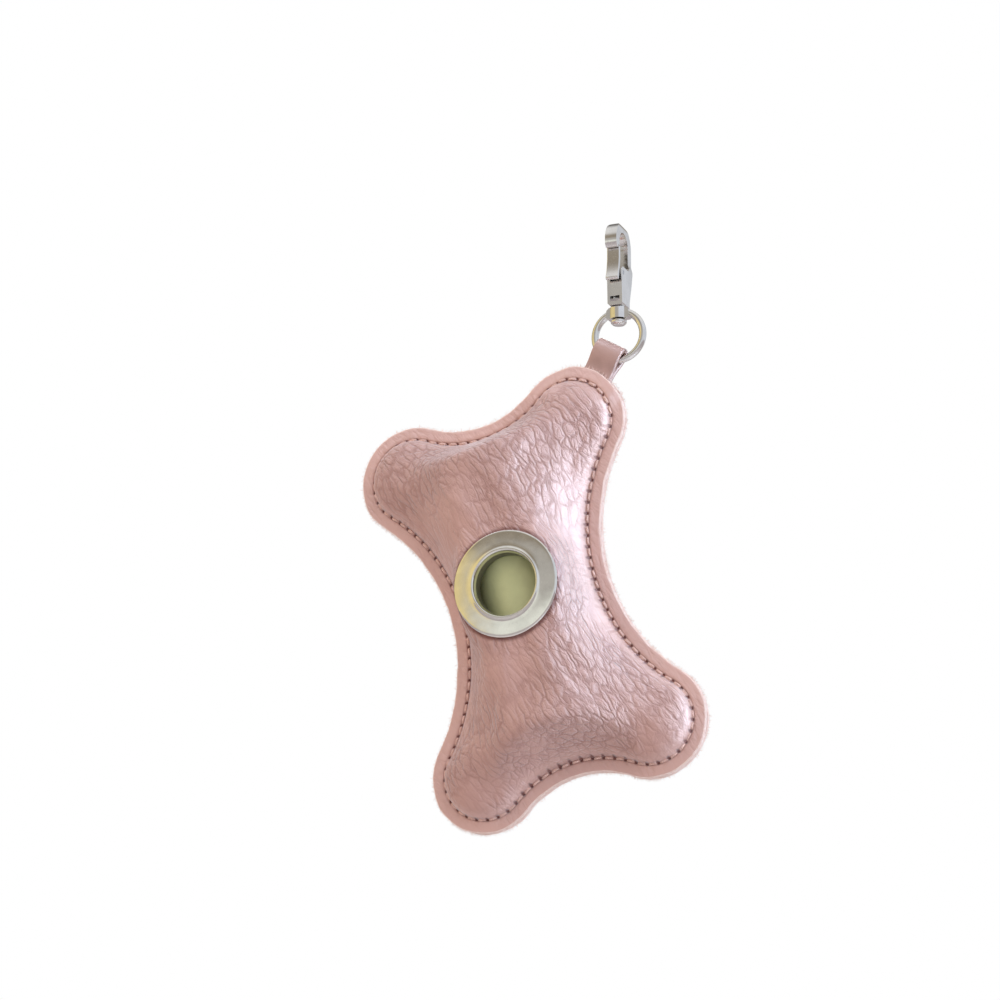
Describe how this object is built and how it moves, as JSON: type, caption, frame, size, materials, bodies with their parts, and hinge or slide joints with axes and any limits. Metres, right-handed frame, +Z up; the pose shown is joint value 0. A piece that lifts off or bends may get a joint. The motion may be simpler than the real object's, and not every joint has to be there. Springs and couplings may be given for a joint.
{
  "type": "bag dispenser pouch",
  "caption": "Bone-shaped padded leather pouch for a roll of small bags, with a round metal outlet in front, a zipper at the back, and a strap tab on a swivel trigger snap.",
  "frame": {"origin": "centre of the round bow of the trigger snap's hook", "axes": "+Z up, the eyelet faces -Y, +X to the right as seen from the front"},
  "size_m": [0.0947, 0.0386, 0.1598],
  "materials": {
    "leather": "soft pebbled grain, satin",
    "strap_leather": "smooth, satin, raw edges",
    "nickel": "polished nickel plate",
    "steel": "plain",
    "bag_film": "thin olive-green film, wound tight",
    "core_board": "grey-brown card",
    "zipper_tape": "woven tape"
  },
  "bodies": {
    "snap": {"snap_body": "nickel", "lever_pin": "steel", "lever_spring": "steel", "swivel_rivet": "nickel"},
    "gate": {"gate_lever": "nickel"},
    "ring": {"swivel_ring": "nickel"},
    "tab": {"tab_loop": "strap_leather"},
    "pouch": {"front_panel": "leather", "back_panel": "leather", "tab_root": "strap_leather", "eyelet": "nickel", "eyelet_washer": "steel", "zipper_tape_left": "zipper_tape", "zipper_tape_right": "zipper_tape", "zipper_teeth_left": "nickel", "zipper_teeth_right": "nickel", "zipper_top_stops": "nickel", "zipper_bottom_stop": "nickel"},
    "roll": {"bag_roll": "bag_film", "roll_core": "core_board"},
    "slider": {"zipper_slider": "nickel"},
    "puller": {"zipper_puller": "nickel"}
  },
  "joints": [
    {"name": "gate_press", "type": "hinge", "parent": "snap", "child": "gate", "pos_m": [0, -0.0017, -0.0083], "axis": [-1, 0, 0], "range_deg": [0, 30], "stiffness_Nm_per_rad": 0.01, "springref_deg": -28.65, "deforming": ["lever_spring"]},
    {"name": "ring_swivel", "type": "hinge", "parent": "snap", "child": "ring", "pos_m": [0, 0, -0.025], "axis": [0, 0, 1], "continuous": true},
    {"name": "tab_swing", "type": "hinge", "parent": "ring", "child": "tab", "pos_m": [0, 0, -0.025], "axis": [0, -1, 0], "range_deg": [-50, 110]},
    {"name": "pouch_flex", "type": "hinge", "parent": "tab", "child": "pouch", "pos_m": [-0.00497, 0, -0.03344], "axis": [0.8616, 0, -0.5075], "range_deg": [-60, 60]},
    {"name": "roll_spin", "type": "hinge", "parent": "pouch", "child": "roll", "pos_m": [-0.02507, 0, -0.09334], "axis": [-0.2504, 0, 0.9681], "continuous": true},
    {"name": "zip_slide", "type": "slide", "parent": "pouch", "child": "slider", "axis": [-0.2504, 0, 0.9681], "range_m": [-0.054, 0], "deforming": ["zipper_teeth_left", "zipper_teeth_right"]},
    {"name": "puller_flip", "type": "hinge", "parent": "slider", "child": "puller", "pos_m": [-0.03226, 0.01845, -0.06555], "axis": [0.9681, 0, 0.2504], "range_deg": [0, 150]}
  ]
}
